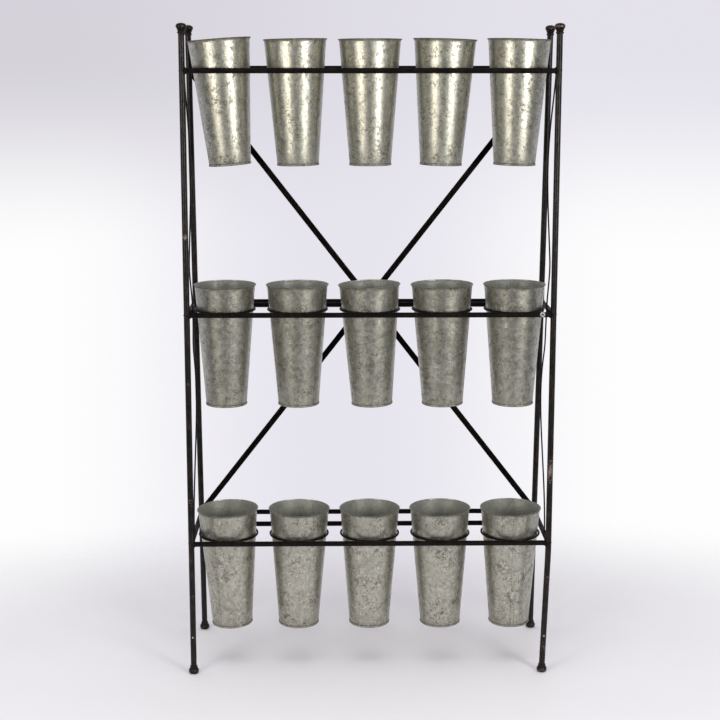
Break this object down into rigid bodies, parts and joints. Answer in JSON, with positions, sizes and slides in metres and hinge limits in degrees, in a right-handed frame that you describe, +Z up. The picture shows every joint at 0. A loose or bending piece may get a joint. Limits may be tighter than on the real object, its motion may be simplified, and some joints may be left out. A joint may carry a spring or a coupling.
{
  "type": "tiered flower bucket display stand",
  "caption": "Free-standing knock-down stand of black round steel tube; tapered galvanised flower buckets hang in wire rings on its tiers, and flat braces cross at the back.",
  "frame": {"origin": "on the floor, under the centre of the bounding box", "axes": "+Z up, -Y out of the front where the upright legs are, +X to the right seen from the front"},
  "size_m": [0.8664, 0.3058, 1.524],
  "materials": {
    "black_paint": "semi-gloss black paint over steel tube, rubbed brown along the legs, with a few chips",
    "bronzed_black": "black paint with a bronze rub on cast ball feet and finials",
    "galvanised": "hot-dip galvanised sheet with a mottled grey spangle and dark flecks"
  },
  "bodies": {
    "frame": {"front_leg_left": "black_paint", "front_foot_left": "bronzed_black", "front_finial_left": "bronzed_black", "rear_leg_left": "black_paint", "rear_foot_left": "bronzed_black", "rear_finial_left": "bronzed_black", "side_wire_left": "black_paint", "front_leg_right": "black_paint", "front_foot_right": "bronzed_black", "front_finial_right": "bronzed_black", "rear_leg_right": "black_paint", "rear_foot_right": "bronzed_black", "rear_finial_right": "bronzed_black", "side_wire_right": "black_paint", "front_rail_top": "black_paint", "rear_rail_top": "black_paint", "side_rail_top_left": "black_paint", "side_rail_top_right": "black_paint", "ring_top_1": "black_paint", "ring_top_2": "black_paint", "ring_top_3": "black_paint", "ring_top_4": "black_paint", "ring_top_5": "black_paint", "front_rail_middle": "black_paint", "rear_rail_middle": "black_paint", "side_rail_middle_left": "black_paint", "side_rail_middle_right": "black_paint", "rear_leg_cross_bar_middle": "black_paint", "ring_middle_1": "black_paint", "ring_middle_2": "black_paint", "ring_middle_3": "black_paint", "ring_middle_4": "black_paint", "ring_middle_5": "black_paint", "front_rail_bottom": "black_paint", "rear_rail_bottom": "black_paint", "side_rail_bottom_left": "black_paint", "side_rail_bottom_right": "black_paint", "rear_leg_cross_bar_bottom": "black_paint", "ring_bottom_1": "black_paint", "ring_bottom_2": "black_paint", "ring_bottom_3": "black_paint", "ring_bottom_4": "black_paint", "ring_bottom_5": "black_paint", "brace_rising_right": "black_paint", "brace_rising_left": "black_paint"},
    "bucket_top_1": {"bucket_top_1": "galvanised"},
    "bucket_top_2": {"bucket_top_2": "galvanised"},
    "bucket_top_3": {"bucket_top_3": "galvanised"},
    "bucket_top_4": {"bucket_top_4": "galvanised"},
    "bucket_top_5": {"bucket_top_5": "galvanised"},
    "bucket_middle_1": {"bucket_middle_1": "galvanised"},
    "bucket_middle_2": {"bucket_middle_2": "galvanised"},
    "bucket_middle_3": {"bucket_middle_3": "galvanised"},
    "bucket_middle_4": {"bucket_middle_4": "galvanised"},
    "bucket_middle_5": {"bucket_middle_5": "galvanised"},
    "bucket_bottom_1": {"bucket_bottom_1": "galvanised"},
    "bucket_bottom_2": {"bucket_bottom_2": "galvanised"},
    "bucket_bottom_3": {"bucket_bottom_3": "galvanised"},
    "bucket_bottom_4": {"bucket_bottom_4": "galvanised"},
    "bucket_bottom_5": {"bucket_bottom_5": "galvanised"}
  },
  "joints": [
    {"name": "bucket_top_1_lift", "type": "slide", "parent": "frame", "child": "bucket_top_1", "axis": [-0.0767, 0, 0.9971], "range_m": [0, 0.24]},
    {"name": "bucket_top_2_lift", "type": "slide", "parent": "frame", "child": "bucket_top_2", "axis": [-0.0175, 0, 0.9998], "range_m": [0, 0.24]},
    {"name": "bucket_top_3_lift", "type": "slide", "parent": "frame", "child": "bucket_top_3", "axis": [-0.0035, 0, 1], "range_m": [0, 0.24]},
    {"name": "bucket_top_4_lift", "type": "slide", "parent": "frame", "child": "bucket_top_4", "axis": [0.0279, 0, 0.9996], "range_m": [0, 0.24]},
    {"name": "bucket_top_5_lift", "type": "slide", "parent": "frame", "child": "bucket_top_5", "axis": [0.0244, 0, 0.9997], "range_m": [0, 0.24]},
    {"name": "bucket_middle_1_lift", "type": "slide", "parent": "frame", "child": "bucket_middle_1", "axis": [0, 0, 1], "range_m": [0, 0.24]},
    {"name": "bucket_middle_2_lift", "type": "slide", "parent": "frame", "child": "bucket_middle_2", "axis": [-0.0052, 0, 1], "range_m": [0, 0.24]},
    {"name": "bucket_middle_3_lift", "type": "slide", "parent": "frame", "child": "bucket_middle_3", "axis": [-0.0244, 0, 0.9997], "range_m": [0, 0.24]},
    {"name": "bucket_middle_4_lift", "type": "slide", "parent": "frame", "child": "bucket_middle_4", "axis": [-0.0122, 0, 0.9999], "range_m": [0, 0.24]},
    {"name": "bucket_middle_5_lift", "type": "slide", "parent": "frame", "child": "bucket_middle_5", "axis": [0, 0, 1], "range_m": [0, 0.24]},
    {"name": "bucket_bottom_1_lift", "type": "slide", "parent": "frame", "child": "bucket_bottom_1", "axis": [-0.0279, 0, 0.9996], "range_m": [0, 0.24]},
    {"name": "bucket_bottom_2_lift", "type": "slide", "parent": "frame", "child": "bucket_bottom_2", "axis": [0.0105, 0, 0.9999], "range_m": [0, 0.24]},
    {"name": "bucket_bottom_3_lift", "type": "slide", "parent": "frame", "child": "bucket_bottom_3", "axis": [0.0035, 0, 1], "range_m": [0, 0.24]},
    {"name": "bucket_bottom_4_lift", "type": "slide", "parent": "frame", "child": "bucket_bottom_4", "axis": [-0.0087, 0, 1], "range_m": [0, 0.24]},
    {"name": "bucket_bottom_5_lift", "type": "slide", "parent": "frame", "child": "bucket_bottom_5", "axis": [0, 0, 1], "range_m": [0, 0.24]}
  ]
}
